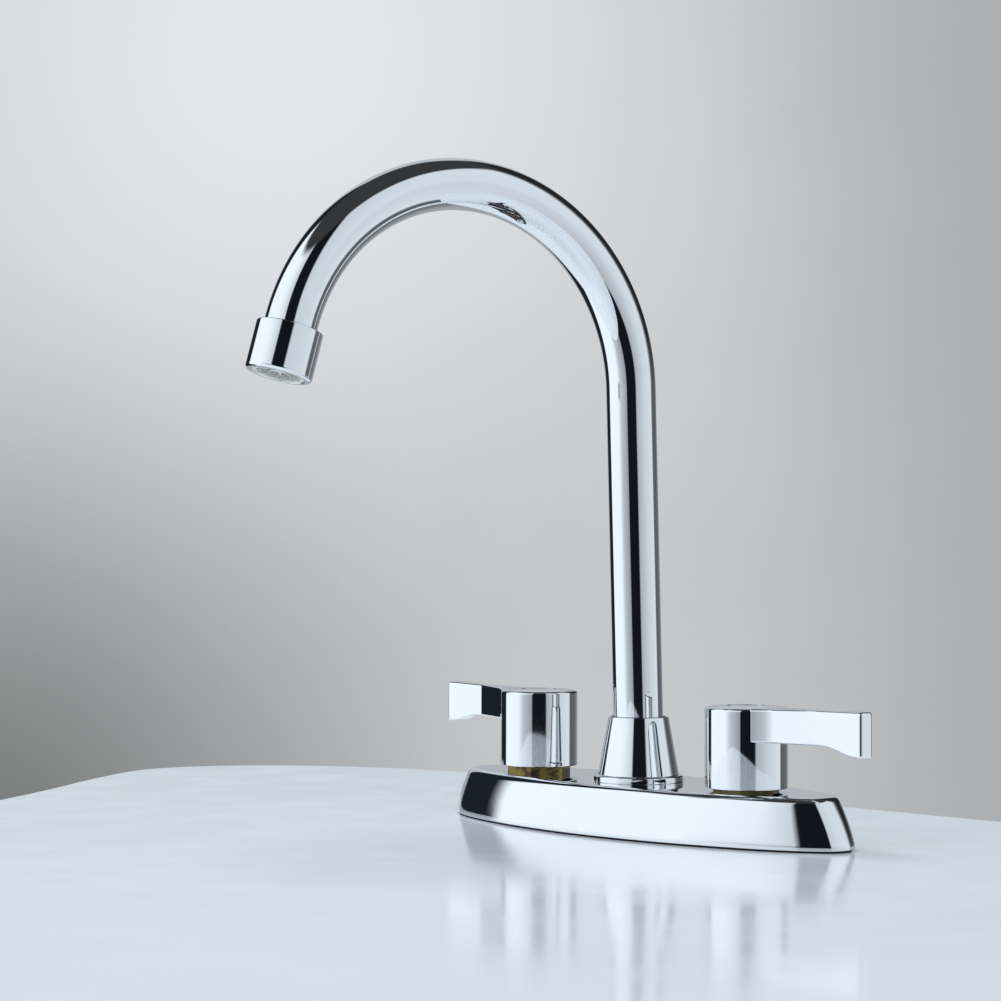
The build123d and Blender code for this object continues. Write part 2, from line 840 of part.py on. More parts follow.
for side, direction, handle_gap, lever_turn in (
    ("hot", -1, hot_handle_gap, hot_lever_turn),
    ("cold", 1, cold_handle_gap, cold_lever_turn),
):
    at_valve = Pos(direction * valve_centres / 2, 0, 0)
    at_handle = Pos(0, 0, plate_height + handle_gap) * Rot(0, 0, 90 - 90 * direction)
    save(f"{side}_valve_body", at_valve * make_valve_body(-direction))
    save(f"{side}_cross_tube", Rot(0, 0, 90 - 90 * direction) * make_cross_tube())
    save(f"{side}_lock_nut", at_valve * make_lock_nut())
    save(f"{side}_bonnet", at_valve * make_bonnet())
    save(f"{side}_bonnet_ring", at_valve * make_bonnet_ring())
    save(f"{side}_seat_seal", at_valve * make_seat_seal())
    save(f"{side}_fixed_disc", at_valve * make_fixed_disc())
    save(f"{side}_moving_disc", at_valve * make_moving_disc())
    save(f"{side}_stem", at_valve * make_stem(-direction))
    save(f"{side}_stem_ring", at_valve * make_stem_ring())
    save(f"{side}_handle", at_valve * at_handle * make_handle(lever_turn))
    save(f"{side}_handle_screw", at_valve * at_handle * make_handle_screw())
    save(f"{side}_index_cap", at_valve * at_handle * make_index_cap())
    save(f"{side}_mounting_washer", at_valve * make_mounting_washer())
    save(f"{side}_mounting_nut", at_valve * make_mounting_nut())

save("spout_ferrule", swivelled * make_spout_ferrule())
save("spout_rings", Compound(children=[swivelled * ring for ring in make_spout_rings()]))
save("spout_tube", swivelled * make_spout_tube())
save("outlet_adapter", swivelled * (outlet * make_outlet_adapter()))
save("aerator_housing", swivelled * (outlet * make_aerator_housing()))
save("aerator_gasket", swivelled * (outlet * make_aerator_gasket()))
save("aerator_screen", swivelled * (outlet * make_aerator_screen()))
save("aerator_insert", swivelled * (outlet * make_aerator_insert()))
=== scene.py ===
import math

import bpy
from mathutils import Matrix, Vector
from mathutils.geometry import tessellate_polygon


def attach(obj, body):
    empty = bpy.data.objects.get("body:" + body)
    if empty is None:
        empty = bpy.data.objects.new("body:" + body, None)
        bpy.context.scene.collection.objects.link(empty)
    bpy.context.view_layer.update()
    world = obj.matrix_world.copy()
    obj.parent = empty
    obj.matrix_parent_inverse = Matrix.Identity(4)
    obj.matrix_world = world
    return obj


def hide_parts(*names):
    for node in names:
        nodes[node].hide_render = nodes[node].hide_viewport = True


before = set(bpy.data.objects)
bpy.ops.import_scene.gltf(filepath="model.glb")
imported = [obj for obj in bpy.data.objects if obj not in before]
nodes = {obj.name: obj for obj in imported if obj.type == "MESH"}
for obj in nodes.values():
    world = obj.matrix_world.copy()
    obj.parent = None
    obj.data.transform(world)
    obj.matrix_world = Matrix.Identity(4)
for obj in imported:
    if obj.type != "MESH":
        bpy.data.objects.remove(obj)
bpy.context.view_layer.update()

MM = 0.001
TAU = 2 * math.pi
RIGHT_ANGLE = math.pi / 2
UP = Vector((0, 0, 1))

# ---------------------------------------------------------------- sizes of the CAD part
# Millimetres and degrees. Heights on a handle are above its foot.
VALVE_X = 50.8

PLATE_LENGTH, PLATE_DEPTH, PLATE_HEIGHT, PLATE_OFFSET = 187.2, 62.0, 18.0, 2.3
PLATE_END_RADIUS, PLATE_SIDE_TURN, PLATE_SHOULDER_TURN = 10.5, 19.0, 39.5
PLATE_PAD, PLATE_LIP, PLATE_WALL = 0.7, 1.4, 2.2
PLATE_EDGE, PLATE_FOOT_EDGE = 3.2, 0.3
END_SLOPE, SIDE_SLOPE, WALL_BULGE = 7.5, 4.3, 0.6
TOWER_HOLE, SOCKET_HOLE = 8.95, 10.25

HUB_RADIUS, HUB_HEIGHT, HUB_DOME = 14.4, 28.0, 0.6
HUB_EDGE, HUB_FOOT_EDGE = 1.1, 0.35
HUB_INSIDE, HUB_CAVITY, HUB_BOSS = 12.7, 11.5, 6.2
HUB_CAVITY_FILLET, HUB_MOUTH_EDGE = 0.5, 0.2
CAP_RADIUS, CAP_FLOOR, CAP_PROUD, CAP_GAP = 6.5, 25.8, 0.36, 0.1
CAP_BEVEL, CAP_FALL, CAP_EDGE, CAP_BLEND = 1.2, 0.12, 0.42, 2.5

LEVER_REACH, LEVER_NECK, LEVER_BEND = 56.0, 34.7, 19.0
LEVER_ROOT_ANGLE, LEVER_ROOT_SLOPE = 39.5, 13.5
NECK_THICKNESS, TIP_THICKNESS = 3.8, 6.2
LEVER_UNDERSIDE, LEVER_FLARE, TIP_DROP = 16.6, 36.0, 3.0
LEVER_TOP_ROOT, LEVER_TOP_TIP = 28.1, 28.9
LEVER_TOP_EDGE, LEVER_LOW_EDGE, TIP_CORNER, TIP_RIM = 0.95, 0.6, 1.2, 0.7

TUBE_RADIUS, TUBE_BORE = 9.0, 8.0
TUBE_FOOT, LEAN_START, SPRING_HEIGHT = 30.95, 34.35, 159.6
SPOUT_SWIVEL, SPOUT_LEAN, LEAN_RADIUS = 11.5, 1.7, 120.0
BOW_RADIUS, BOW_ANGLE, TAIL_LENGTH = 70.7, 162.9, 9.5
HOUSING_RADIUS, HOUSING_BORE, HOUSING_MOUTH = 11.4, 10.3, 9.0
HOUSING_START, HOUSING_LENGTH, HOUSING_LIP = 1.4, 16.6, 1.4

COLLAR_TOP, COLLAR_FLANGE_TOP = 41.3, 20.4
COLLAR_BORE, COLLAR_INSIDE, COLLAR_MOUTH = 9.9, 13.3, 13.7
COLLAR_FLANGE, COLLAR_CONE_FOOT, COLLAR_CONE_TOP = 16.2, 14.65, 10.85

# ---------------------------------------------------------------- fineness of the meshes
PLATE_COLUMNS = 720
HOLE_SEGMENTS, TUBE_SEGMENTS, CAP_SEGMENTS = 96, 96, 96
HOUSING_SEGMENTS = 128
HUB_SEGMENTS, COLLAR_SEGMENTS = 160, 160
LEVER_EDGE_STEPS, LEVER_TIP_STEPS = 6, 8
LEAN_STEPS, SHANK_STEPS, BOW_STEPS = 4, 12, 120
STRAIGHT_TURN = 1e-4  # radians: a corner that turns less than this is no corner
NO_AREA = 1e-13  # a face smaller than this is left out


# ---------------------------------------------------------------- mesh building
def rounded(points, radii, steps=6):
    """A profile through points with rounded corners, as rows of r, z and the normal's r, z.
    The outside lies to the right of the way it runs. A corner of radius 0 stays sharp."""
    rows = []
    last = len(points) - 1
    for k, radius in enumerate(radii):
        corner = Vector(points[k])
        before = (corner - Vector(points[k - 1])).normalized() if k else None
        after = (Vector(points[k + 1]) - corner).normalized() if k < last else None
        first = before or after
        second = after or before
        turn = math.atan2(first.x * second.y - first.y * second.x, first.dot(second))
        way = math.copysign(1, turn)
        start = corner - first * (radius * math.tan(abs(turn) / 2))
        normal = Vector((first.y, -first.x))
        centre = start - normal * (radius * way)
        count = steps if abs(turn) > STRAIGHT_TURN else 0
        for step in range(count + 1):
            swing = turn * step / max(count, 1)
            n = Vector((
                normal.x * math.cos(swing) - normal.y * math.sin(swing),
                normal.x * math.sin(swing) + normal.y * math.cos(swing),
            ))
            p = centre + n * (radius * way)
            rows.append((p.x, p.y, n.x, n.y))
    return rows


class Skin:
    """Collects points with their exact normals and makes one smooth object of them."""

    def __init__(self):
        self.points, self.normals, self.faces = [], [], []

    def ring(self, pairs):
        first = len(self.points)
        for point, normal in pairs:
            self.points.append(Vector(point))
            self.normals.append(Vector(normal).normalized())
        return list(range(first, len(self.points)))

    def middle(self, row):
        return sum((self.points[k] for k in row), Vector()) / len(row)

    def cap(self, row, inner):
        """A flat face over a ring, looking away from the ring next to it."""
        centre = self.middle(row)
        edge = self.points[row[0]] - centre
        side = self.points[row[len(row) // 4]] - centre
        normal = edge.cross(side).normalized()
        if normal.dot(centre - self.middle(inner)) < 0:
            normal.negate()
        self.faces.append(tuple(self.ring((self.points[k], normal) for k in row)))

    def grid(self, rings, caps=(False, False)):
        """Quads between closed rings, with a face over the first or the last where asked."""
        rows = [self.ring(pairs) for pairs in rings]
        count = len(rows[0])
        for low, high in zip(rows, rows[1:]):
            for k in range(count):
                nxt = (k + 1) % count
                self.faces.append((low[k], low[nxt], high[nxt], high[k]))
        if caps[0]:
            self.cap(rows[0], rows[1])
        if caps[1]:
            self.cap(rows[-1], rows[-2])

    def sheet(self, loops, normal):
        """A flat face inside the first loop, with the other loops as holes."""
        flat = [point for loop in loops for point in loop]
        first = self.ring((point, normal) for point in flat)
        for face in tessellate_polygon(loops):
            self.faces.append(tuple(first[k] for k in face))

    def build(self, name, place=None):
        place = place or Matrix.Identity(4)
        points = [place @ point * MM for point in self.points]
        normals = [(place.to_3x3() @ normal).normalized() for normal in self.normals]
        faces = []
        for face in self.faces:
            a, b, c = (points[face[k]] for k in (0, 1, 2))
            if len(face) == 4:
                across = (c - a).cross(points[face[-1]] - b)
            else:
                across = (b - a).cross(c - a)
            if across.length < NO_AREA:
                continue
            facing = sum((normals[k] for k in face), Vector())
            faces.append(face if across.dot(facing) > 0 else tuple(reversed(face)))
        mesh = bpy.data.meshes.new(name)
        mesh.from_pydata(points, [], faces)
        mesh.polygons.foreach_set("use_smooth", [True] * len(faces))
        mesh.normals_split_custom_set_from_vertices(normals)
        mesh.update()
        piece = bpy.data.objects.new(name, mesh)
        bpy.context.scene.collection.objects.link(piece)
        return piece


def turned(rows, segments):
    """Rings of a turned shape from its profile rows."""
    rings = []
    for r, z, nr, nz in rows:
        ring = []
        for k in range(segments):
            c, s = math.cos(TAU * k / segments), math.sin(TAU * k / segments)
            ring.append(((r * c, r * s, z), (nr * c, nr * s, nz)))
        rings.append(ring)
    return rings


def lathe(name, rows, place, segments, caps=(False, False)):
    skin = Skin()
    skin.grid(turned(rows, segments), caps)
    return skin.build(name, place)


def circle(radius, x, z):
    """Points of a level circle around (x, 0, z)."""
    points = []
    for k in range(HOLE_SEGMENTS):
        angle = TAU * k / HOLE_SEGMENTS
        points.append(Vector((x + radius * math.cos(angle), radius * math.sin(angle), z)))
    return points


def dress(piece, body, material, replaced):
    """Give a new piece its material and body, and let it stand for a CAD node."""
    piece.data.materials.clear()
    piece.data.materials.append(material)
    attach(piece, body)
    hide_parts(replaced)


# ---------------------------------------------------------------- node trees
class Graph:
    """A node tree under construction."""

    def __init__(self, tree):
        self.tree = tree

    def add(self, kind, **settings):
        node = self.tree.nodes.new(kind)
        for key, value in settings.items():
            setattr(node, key, value)
        return node

    def put(self, value, socket):
        """Set a socket to a number or colour, or link another node's output to it."""
        if isinstance(value, (int, float)):
            socket.default_value = value
        elif isinstance(value, tuple):
            socket.default_value = (*value, 1)
        else:
            self.tree.links.new(value, socket)

    def math(self, operation, *values):
        node = self.add("ShaderNodeMath", operation=operation)
        for value, socket in zip(values, node.inputs):
            self.put(value, socket)
        return node.outputs[0]

    def smooth(self, value, low, high, to_low=0.0, to_high=1.0):
        """to_low where value is low, to_high where it is high, and a soft step between."""
        node = self.add("ShaderNodeMapRange", interpolation_type="SMOOTHSTEP")
        self.put(value, node.inputs["Value"])
        names = ("From Min", "From Max", "To Min", "To Max")
        for name, number in zip(names, (low, high, to_low, to_high)):
            node.inputs[name].default_value = number
        return node.outputs["Result"]

    def mix(self, factor, first, second):
        node = self.add("ShaderNodeMix", data_type="RGBA")
        self.put(factor, node.inputs["Factor"])
        first_color, second_color, mixed = node.inputs[6], node.inputs[7], node.outputs[2]
        self.put(first, first_color)
        self.put(second, second_color)
        return mixed

    def distance(self, across, along):
        square = self.math("ADD", self.math("MULTIPLY", across, across), self.math("MULTIPLY", along, along))
        return self.math("SQRT", square, 0.0)


class Look(Graph):
    """A procedural material under construction."""

    def __init__(self, name, color, metallic=0.0):
        self.material = bpy.data.materials.new(name)
        self.material.use_nodes = True
        super().__init__(self.material.node_tree)
        self.shader = self.tree.nodes["Principled BSDF"]
        self.put(color, self.shader.inputs["Base Color"])
        self.put(metallic, self.shader.inputs["Metallic"])
        self.place = self.add("ShaderNodeTexCoord").outputs["Object"]
        self.relief = None

    def noise(self, scale, detail=2.0, stretch=(1, 1, 1), distortion=0.0):
        mapping = self.add("ShaderNodeMapping")
        mapping.inputs["Scale"].default_value = stretch
        self.put(self.place, mapping.inputs["Vector"])
        node = self.add("ShaderNodeTexNoise")
        node.inputs["Scale"].default_value = scale
        node.inputs["Detail"].default_value = detail
        node.inputs["Distortion"].default_value = distortion
        self.put(mapping.outputs["Vector"], node.inputs["Vector"])
        return node.outputs["Fac"]

    def cells(self, scale):
        node = self.add("ShaderNodeTexVoronoi", feature="F1")
        node.inputs["Scale"].default_value = scale
        self.put(self.place, node.inputs["Vector"])
        return node.outputs["Distance"]

    def roughness(self, value):
        self.put(value, self.shader.inputs["Roughness"])

    def color(self, mask, first, second):
        self.put(self.mix(mask, first, second), self.shader.inputs["Base Color"])

    def bump(self, value, distance, strength=1.0):
        node = self.add("ShaderNodeBump")
        node.inputs["Distance"].default_value = distance
        node.inputs["Strength"].default_value = strength
        self.put(value, node.inputs["Height"])
        if self.relief:
            self.put(self.relief, node.inputs["Normal"])
        self.relief = node.outputs["Normal"]
        self.put(self.relief, self.shader.inputs["Normal"])


# ---------------------------------------------------------------- materials
# Noise scales are per metre, and bump distances are in metres.
CHROME_TINT = (0.86, 0.885, 0.905)
DRIED_SHADE = 0.93  # how much of its tint chrome keeps under a dried drop
RING_INSIDE, RING_OUTSIDE, RING_BLUR = 2.75, 4.1, 0.15
GLAZE, GLAZE_CLOUD = (0.66, 0.715, 0.765), (0.62, 0.68, 0.735)


def chrome(name, haze=0.05, waviness=2.4e-6):
    """Polished chrome plate: mirror with faint orange peel, hairlines and dried water specks."""
    look = Look(name, CHROME_TINT, 1.0)
    film = look.noise(42, detail=4.0, distortion=0.4)
    hairlines = look.noise(900, stretch=(1, 1, 0.04))
    spots = look.smooth(look.cells(310), 0.0, 0.13, 1.0, 0.0)
    patches = look.smooth(look.noise(70, detail=1.0), 0.52, 0.66)
    dried = look.math("MULTIPLY", spots, patches)
    polish = look.smooth(film, 0.3, 0.75, 0.018, haze)
    lines = look.smooth(hairlines, 0.66, 0.85, 0.0, 0.035)
    clean = look.math("ADD", polish, lines)
    look.roughness(look.math("ADD", clean, look.math("MULTIPLY", dried, 0.09)))
    look.color(look.smooth(dried, 0.2, 1.0), CHROME_TINT, tuple(DRIED_SHADE * c for c in CHROME_TINT))
    look.bump(look.noise(85, detail=0.0), waviness)
    look.bump(hairlines, 4e-8)
    return look.material


def metal(name, bright, dull, low, high, turning=(1, 1, 14)):
    """Machined metal with turning marks and a dulled, stained surface."""
    look = Look(name, bright, 1.0)
    marks = look.noise(160, detail=3.0, stretch=turning)
    stain = look.noise(95, detail=5.0, distortion=1.2)
    look.color(look.smooth(stain, 0.42, 0.68), bright, dull)
    stained = look.smooth(stain, 0.35, 0.7, low, high)
    look.roughness(look.math("ADD", stained, look.smooth(marks, 0.3, 0.7, 0.0, 0.1)))
    look.bump(marks, 5e-6)
    look.bump(look.noise(1800), 1.5e-6)
    return look.material


def soft(name, dark, light, low, high, grain, depth, cells=None):
    """Rubber or moulded plastic with fine grain, dust and uneven gloss."""
    look = Look(name, dark)
    look.color(look.smooth(look.noise(130, detail=6.0), 0.45, 0.75), dark, light)
    look.roughness(look.smooth(look.noise(260, detail=3.0), 0.3, 0.7, low, high))
    look.bump(look.noise(grain, detail=3.0), depth)
    if cells:
        look.bump(look.cells(cells), depth * 2)
    return look.material


def index_look(name, tint, enamel, x):
    """Chromed button with a ring of coloured enamel sunk in its face, around (x, 0)."""
    look = Look(name, tint, 1.0)
    axes = look.add("ShaderNodeSeparateXYZ")
    look.put(look.place, axes.inputs["Vector"])
    across = look.math("SUBTRACT", axes.outputs["X"], x * MM)
    radius = look.distance(across, axes.outputs["Y"])
    outside = look.smooth(radius, RING_OUTSIDE * MM, (RING_OUTSIDE + RING_BLUR) * MM)
    inside = look.smooth(radius, RING_INSIDE * MM, (RING_INSIDE + RING_BLUR) * MM)
    ring = look.math("SUBTRACT", inside, outside)
    look.color(ring, tint, enamel)
    film = look.smooth(look.noise(300, detail=3.0), 0.3, 0.75, 0.02, 0.06)
    look.roughness(look.math("ADD", film, look.math("MULTIPLY", ring, 0.1)))
    look.put(look.smooth(ring, 0.0, 1.0, 1.0, 0.25), look.shader.inputs["Metallic"])
    look.shader.inputs["Coat Weight"].default_value = 0.6
    look.bump(look.math("MULTIPLY", ring, -1.0), 0.05 * MM, strength=0.5)
    return look.material


def ceramic_floor(name):
    """Glazed basin ceramic: pale, glossy and very slightly uneven."""
    look = Look(name, GLAZE)
    look.color(look.smooth(look.noise(6, detail=3.0), 0.35, 0.7), GLAZE, GLAZE_CLOUD)
    look.roughness(look.smooth(look.noise(30), 0.3, 0.7, 0.10, 0.16))
    look.bump(look.noise(14, detail=1.0), 6e-5)
    return look.material


chrome_plate = chrome("chrome_plate")
chrome_tube = chrome("chrome_tube", haze=0.045, waviness=1.2e-6)
chrome_fittings = chrome("chrome_fittings", haze=0.04, waviness=8e-7)
hot_chrome = chrome("hot_handle_chrome", waviness=3.0e-6)
cold_chrome = chrome("cold_handle_chrome", waviness=3.0e-6)
hot_index = index_look("hot_index", (0.80, 0.77, 0.78), (0.55, 0.06, 0.07), -VALVE_X)
cold_index = index_look("cold_index", (0.77, 0.79, 0.82), (0.06, 0.16, 0.50), VALVE_X)
SLOT_LOOKS = {
    "brass": metal("brass", (0.62, 0.45, 0.17), (0.34, 0.23, 0.09), 0.08, 0.24),
    "copper_tube": metal(
        "copper_tube", (0.80, 0.43, 0.27), (0.48, 0.24, 0.15), 0.2, 0.42, turning=(0.1, 1, 1)
    ),
    "steel": metal(
        "steel", (0.62, 0.63, 0.64), (0.47, 0.47, 0.47), 0.18, 0.36, turning=(1, 1, 6)
    ),
    "rubber": soft(
        "rubber", (0.014, 0.014, 0.015), (0.045, 0.043, 0.041), 0.45, 0.7, 2400, 4e-6
    ),
    "foam_rubber": soft(
        "foam_rubber", (0.018, 0.018, 0.019), (0.05, 0.05, 0.05), 0.75, 0.95, 1500, 1e-5, 1900
    ),
    "acetal": soft("acetal", (0.80, 0.79, 0.74), (0.70, 0.69, 0.64), 0.3, 0.48, 1700, 3e-6),
    "ceramic": soft("ceramic", (0.86, 0.85, 0.81), (0.78, 0.77, 0.73), 0.08, 0.2, 2600, 8e-7),
    "insert_plastic": soft(
        "insert_plastic", (0.80, 0.80, 0.77), (0.68, 0.68, 0.64), 0.28, 0.45, 1500, 3e-6
    ),
    "nut_plastic": soft(
        "nut_plastic", (0.035, 0.036, 0.04), (0.085, 0.085, 0.088), 0.38, 0.6, 1300, 8e-6
    ),
}
# The nuts under the hubs stand in shade, so their brass colours carry painted shade and are darker than the
# rest of the brass.
PAINTED_SHADE_LOOKS = {
    "hot_lock_nut": metal("hot_nut_brass_painted_shade", (0.21, 0.16, 0.05), (0.03, 0.026, 0.016), 0.06, 0.16),
    "cold_lock_nut": metal("cold_nut_brass_painted_shade", (0.09, 0.075, 0.035), (0.02, 0.018, 0.014), 0.08, 0.2),
}


# ---------------------------------------------------------------- deck cover
LIP_TOP = PLATE_PAD + PLATE_LIP
WALL_HEIGHT = PLATE_HEIGHT - LIP_TOP
LIP_BLEND = 0.5  # the lip's upright side turns into the leaning wall over twice this height
CREST_DROP = 1.6  # the wall's lean is read this far below the top
NUDGE = 2e-3  # share of the wall's height over which its lean is measured
FOOT_STEPS, BLEND_STEPS, WALL_STEPS, CREST_STEPS = 4, 4, 16, 12


def oval_point(half_length, half_depth, end_radius, angle):
    """The point of the eight-arc oval whose normal has this angle."""
    side, shoulder = math.radians(PLATE_SIDE_TURN), math.radians(PLATE_SHOULDER_TURN)
    reach = half_length - end_radius * (1 - math.sin(shoulder))
    drop = half_depth - end_radius * math.cos(shoulder)
    side_span, side_fall = math.sin(side), 1 - math.cos(side)
    span, fall = math.sin(shoulder) - math.sin(side), math.cos(side) - math.cos(shoulder)
    share = side_span * fall - span * side_fall
    side_radius = (reach * fall - drop * span) / share
    shoulder_radius = (drop * side_span - reach * side_fall) / share
    c, s = math.cos(angle), math.sin(angle)
    turn = math.atan2(abs(c), abs(s))
    x, y = 0.0, half_depth
    for radius, low, high in (
        (side_radius, 0.0, side),
        (shoulder_radius, side, shoulder),
        (end_radius, shoulder, RIGHT_ANGLE),
    ):
        reached = min(max(turn, low), high)
        x += radius * (math.sin(reached) - math.sin(low))
        y -= radius * (math.cos(low) - math.cos(reached))
    return Vector((math.copysign(x, c), math.copysign(y, s), 0))


def plate_point(rise, inset, angle):
    """The wall's outline at a share of its height, moved inwards by inset."""
    swell = WALL_BULGE * 4 * rise * (1 - rise)
    point = oval_point(
        PLATE_LENGTH / 2 - END_SLOPE * rise + swell - inset,
        PLATE_DEPTH / 2 - SIDE_SLOPE * rise + swell - inset,
        PLATE_END_RADIUS - inset,
        angle,
    )
    return point + Vector((0, PLATE_OFFSET, 0))


def plate_column(angle):
    """The plate's section at one angle: down the inside, round the foot and up to the crest."""
    n = Vector((math.cos(angle), math.sin(angle), 0))

    def lean(rise):
        across = (plate_point(rise + NUDGE, 0, angle) - plate_point(rise - NUDGE, 0, angle)).dot(n)
        return math.atan2(-across, 2 * NUDGE * WALL_HEIGHT)

    def tilted(swing):
        return n * math.cos(swing) + UP * math.sin(swing)

    slope = lean(1 - CREST_DROP / WALL_HEIGHT)
    wall_end = PLATE_HEIGHT - PLATE_EDGE * (1 - math.sin(slope))
    foot = plate_point(0, 0, angle)
    inner_foot = plate_point(0, PLATE_WALL, angle) + UP * PLATE_PAD
    inner_top = plate_point(1, PLATE_WALL, angle) + UP * (PLATE_HEIGHT - PLATE_WALL)
    column = [(inner_top, -n), (inner_foot, -n), (inner_foot, -UP)]

    foot_centre = foot - n * PLATE_FOOT_EDGE + UP * (PLATE_PAD + PLATE_FOOT_EDGE)
    for step in range(FOOT_STEPS + 1):
        normal = tilted(RIGHT_ANGLE * step / FOOT_STEPS - RIGHT_ANGLE)
        column.append((foot_centre + normal * PLATE_FOOT_EDGE, normal))

    column.append((foot + UP * (LIP_TOP - LIP_BLEND), n))
    start = lean(0.0)
    for step in range(1, BLEND_STEPS + 1):
        z = LIP_TOP - LIP_BLEND + 2 * LIP_BLEND * step / BLEND_STEPS
        rise = max(0.0, z - LIP_TOP) / WALL_HEIGHT
        column.append((plate_point(rise, 0, angle) + UP * z, tilted(start * step / BLEND_STEPS)))

    wall_start = LIP_TOP + LIP_BLEND
    for step in range(1, WALL_STEPS + 1):
        z = wall_start + (wall_end - wall_start) * step / WALL_STEPS
        rise = (z - LIP_TOP) / WALL_HEIGHT
        swing = lean(rise) if step < WALL_STEPS else slope
        column.append((plate_point(rise, 0, angle) + UP * z, tilted(swing)))

    crest_centre = column[-1][0] - tilted(slope) * PLATE_EDGE
    for step in range(1, CREST_STEPS + 1):
        normal = tilted(slope + (RIGHT_ANGLE - slope) * step / CREST_STEPS)
        column.append((crest_centre + normal * PLATE_EDGE, normal))
    return column


def make_deck_cover():
    columns = [plate_column(TAU * (k + 0.5) / PLATE_COLUMNS) for k in range(PLATE_COLUMNS)]
    skin = Skin()
    skin.grid([[column[k] for column in columns] for k in range(len(columns[0]))])
    holes = ((TOWER_HOLE, -VALVE_X), (SOCKET_HOLE, 0), (TOWER_HOLE, VALVE_X))
    ceiling = PLATE_HEIGHT - PLATE_WALL
    for end, level, way in ((-1, PLATE_HEIGHT, 1), (0, ceiling, -1)):
        rim = [column[end][0] for column in columns]
        outline = [Vector((p.x, p.y, level)) for p in rim]
        skin.sheet([outline] + [circle(radius, x, level) for radius, x in holes], (0, 0, way))
    for radius, x in holes:
        rings = []
        for level in (PLATE_HEIGHT, ceiling):
            rings.append([(p, Vector((x, 0, level)) - p) for p in circle(radius, x, level)])
        skin.grid(rings)
    return skin.build("deck_cover_shell")


# ---------------------------------------------------------------- handles
# Distances from the hub's axis where the lever has a section, as runs of start, spacing and
# count. They are closest in the curve of its root.
LEVER_RUNS = (
    (6.0, 3.0, 2), (10.5, 0.5, 1), (11.0, 0.4, 21), (19.5, 1.0, 15),
    (LEVER_NECK - 0.25, 0.5, 2), (35.6, 0.9, 21),
)
EDGE_SHARE = 0.9  # an edge's radius is at most this share of the lever's half thickness
HUB_JOIN = 20  # height where the hub's foot and its top meet, on the straight side
HUB_TOP_STEPS = 8
HOLE_EDGE = 0.25
CAP_CLEARANCE = 0.05  # the button stands this far above the floor of its hole
PIN_HOLE = 0.05  # a turned face starts this far from its axis and is then closed flat


def root_arc():
    """Centre and radius of the arc that sweeps the lever's straight root side into the hub,
    and the two points where it ends."""
    slope, angle = math.radians(LEVER_ROOT_SLOPE), math.radians(LEVER_ROOT_ANGLE)
    rise = (LEVER_NECK - LEVER_BEND) * math.tan(slope)
    bend = Vector((LEVER_BEND, NECK_THICKNESS / 2 + rise))
    root = Vector((HUB_RADIUS * math.cos(angle), HUB_RADIUS * math.sin(angle)))
    normal = Vector((math.sin(slope), math.cos(slope)))
    chord = root - bend
    radius = chord.length_squared / (2 * chord.dot(normal))
    return bend + normal * radius, radius, root, bend


def half_width(x):
    """Half of the lever's thickness at a distance from the hub's axis, and its rate."""
    centre, radius, root, bend = root_arc()
    slope = math.tan(math.radians(LEVER_ROOT_SLOPE))
    if x < root.x:
        return root.y, 0.0
    if x < bend.x:
        drop = math.sqrt(max(radius**2 - (x - centre.x) ** 2, 0.01))
        return centre.y - drop, (x - centre.x) / drop
    if x < LEVER_NECK:
        return NECK_THICKNESS / 2 + (LEVER_NECK - x) * slope, -slope
    rate = (TIP_THICKNESS - NECK_THICKNESS) / 2 / (LEVER_REACH - LEVER_NECK)
    return NECK_THICKNESS / 2 + (x - LEVER_NECK) * rate, rate


def lever_low(x):
    """Height of the lever's underside and its rate. Two arcs take it down to the tip."""
    if x < LEVER_FLARE:
        return LEVER_UNDERSIDE, 0.0
    run = (LEVER_REACH - LEVER_FLARE) / 2
    radius = (run**2 + (TIP_DROP / 2) ** 2) / TIP_DROP
    if x < LEVER_FLARE + run:
        away = x - LEVER_FLARE
        drop = math.sqrt(radius**2 - away**2)
        return LEVER_UNDERSIDE - (radius - drop), -away / drop
    away = LEVER_REACH - x
    drop = math.sqrt(radius**2 - away**2)
    return LEVER_UNDERSIDE - TIP_DROP + (radius - drop), -away / drop


def lever_top(x):
    """Height of the lever's top and its rate."""
    if x < HUB_RADIUS:
        return LEVER_TOP_ROOT, 0.0
    rate = (LEVER_TOP_TIP - LEVER_TOP_ROOT) / (LEVER_REACH - HUB_RADIUS)
    return LEVER_TOP_ROOT + (x - HUB_RADIUS) * rate, rate


def lever_ring(x, wide, low, high, shrink=0.0, lift=0.0, nose=0.0):
    """One rounded section of the lever. wide, low and high each hold a size and its rate.
    nose turns the normals towards the tip, in radians."""
    ring = []
    half = wide[0] - shrink
    for y_way, z_way in ((1, 1), (-1, 1), (-1, -1), (1, -1)):
        edge = min(LEVER_TOP_EDGE if z_way > 0 else LEVER_LOW_EDGE, half * EDGE_SHARE)
        level, rate = high if z_way > 0 else low
        level -= z_way * lift
        for k in range(LEVER_EDGE_STEPS + 1):
            turn = RIGHT_ANGLE * k / LEVER_EDGE_STEPS
            if y_way * z_way < 0:
                turn = RIGHT_ANGLE - turn
            c, s = math.cos(turn), math.sin(turn)
            y = y_way * (half - edge + edge * c)
            z = level - z_way * edge + z_way * edge * s
            along = -(wide[1] * c + z_way * rate * s)
            normal = Vector((along, y_way * c, z_way * s)).normalized()
            normal = normal * math.cos(nose) + Vector((1, 0, 0)) * math.sin(nose)
            ring.append(((x, y, z), normal))
    return ring


